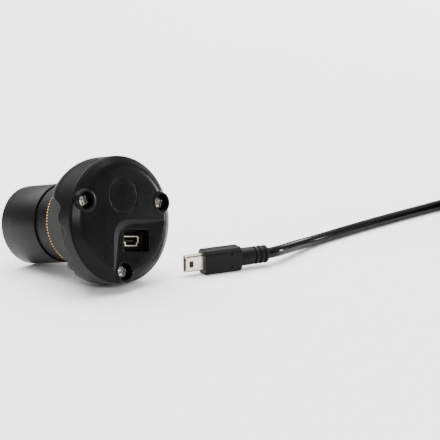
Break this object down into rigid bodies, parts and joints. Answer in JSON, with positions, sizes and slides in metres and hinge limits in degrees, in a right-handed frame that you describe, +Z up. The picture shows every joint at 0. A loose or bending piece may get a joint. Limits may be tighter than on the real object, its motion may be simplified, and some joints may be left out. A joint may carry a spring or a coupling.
{
  "type": "guide camera",
  "caption": "Short round telescope guide camera with a screw-in 1.25 inch nosepiece, a USB socket in its rear cover and a detachable coiled USB lead.",
  "frame": {"origin": "on the table, under the middle of the camera's box without its lead; the camera lies on the front edge of its body and on its barrel's rim", "axes": "+Y runs from the rear cover to the nosepiece, level with the table; +Z is up; +X is to the right seen from the rear"},
  "size_m": [0.265, 0.1312, 0.052],
  "materials": {
    "cover_plastic": "satin black moulded",
    "housing_plastic": "fine textured black",
    "seal_rubber": "matte",
    "screw_steel": "bright plated",
    "brass": "knurled, bare",
    "anodised_black": "satin black anodised",
    "window_glass": "coated",
    "baffle_plastic": "matte black",
    "board_green": "solder mask",
    "chip_black": "moulded epoxy",
    "sensor_ceramic": "ceramic package",
    "capacitor_tan": "ceramic with tinned ends",
    "connector_cream": "moulded",
    "plug_metal": "nickel plated sheet",
    "contact_gold": "gold plated",
    "plug_white": "moulded",
    "lead_pvc": "glossy PVC",
    "overmold_pvc": "satin PVC",
    "tie_plastic": "satin"
  },
  "bodies": {
    "camera": {"rear_cover": "cover_plastic", "housing_gasket": "seal_rubber", "front_housing": "housing_plastic", "cover_screws": "screw_steel", "screw_inserts": "brass", "mount_insert": "brass", "window_seal": "seal_rubber", "window_glass": "window_glass", "window_retainer": "anodised_black", "sensor_baffle": "baffle_plastic", "image_sensor": "sensor_ceramic", "sensor_glass": "window_glass", "sensor_board": "board_green", "board_spacers": "brass", "board_connector": "connector_cream", "board_screws": "screw_steel", "interface_board": "board_green", "controller_chip": "chip_black", "memory_chip": "chip_black", "crystal_oscillator": "plug_metal", "board_capacitors": "capacitor_tan", "usb_socket_shell": "plug_metal", "usb_socket_insulator": "chip_black", "usb_socket_contacts": "contact_gold"},
    "thread_carrier": {"nosepiece_washer": "seal_rubber"},
    "nosepiece": {"nosepiece_barrel": "anodised_black"},
    "usb_lead": {"mini_plug_shell": "plug_metal", "mini_plug_insulator": "chip_black", "mini_plug_contacts": "contact_gold", "mini_plug_overmold": "overmold_pvc", "mini_plug_boot": "overmold_pvc", "lead_run": "lead_pvc", "lead_coil": "lead_pvc", "lead_tie": "tie_plastic", "lead_tail": "lead_pvc", "usb_a_boot": "overmold_pvc", "usb_a_overmold": "overmold_pvc", "usb_a_shell": "plug_metal", "usb_a_insulator": "plug_white", "usb_a_contacts": "contact_gold"}
  },
  "joints": [
    {"name": "nosepiece_travel", "type": "slide", "parent": "camera", "child": "thread_carrier", "axis": [0, 0.9765, -0.2157], "range_m": [0, 0.00397]},
    {"name": "nosepiece_unscrew", "type": "hinge", "parent": "thread_carrier", "child": "nosepiece", "pos_m": [0, 0.01387, 0.01891], "axis": [0, 0.9765, -0.2157], "range_deg": [0, 1800]},
    {"name": "lead_slide", "type": "slide", "parent": "camera", "child": "usb_lead", "axis": [1, 0, 0], "range_m": [0, 0.03]}
  ],
  "couplings": [
    {"joint": "nosepiece_unscrew", "follows": "nosepiece_travel", "rad_per_m": 7915.8}
  ]
}
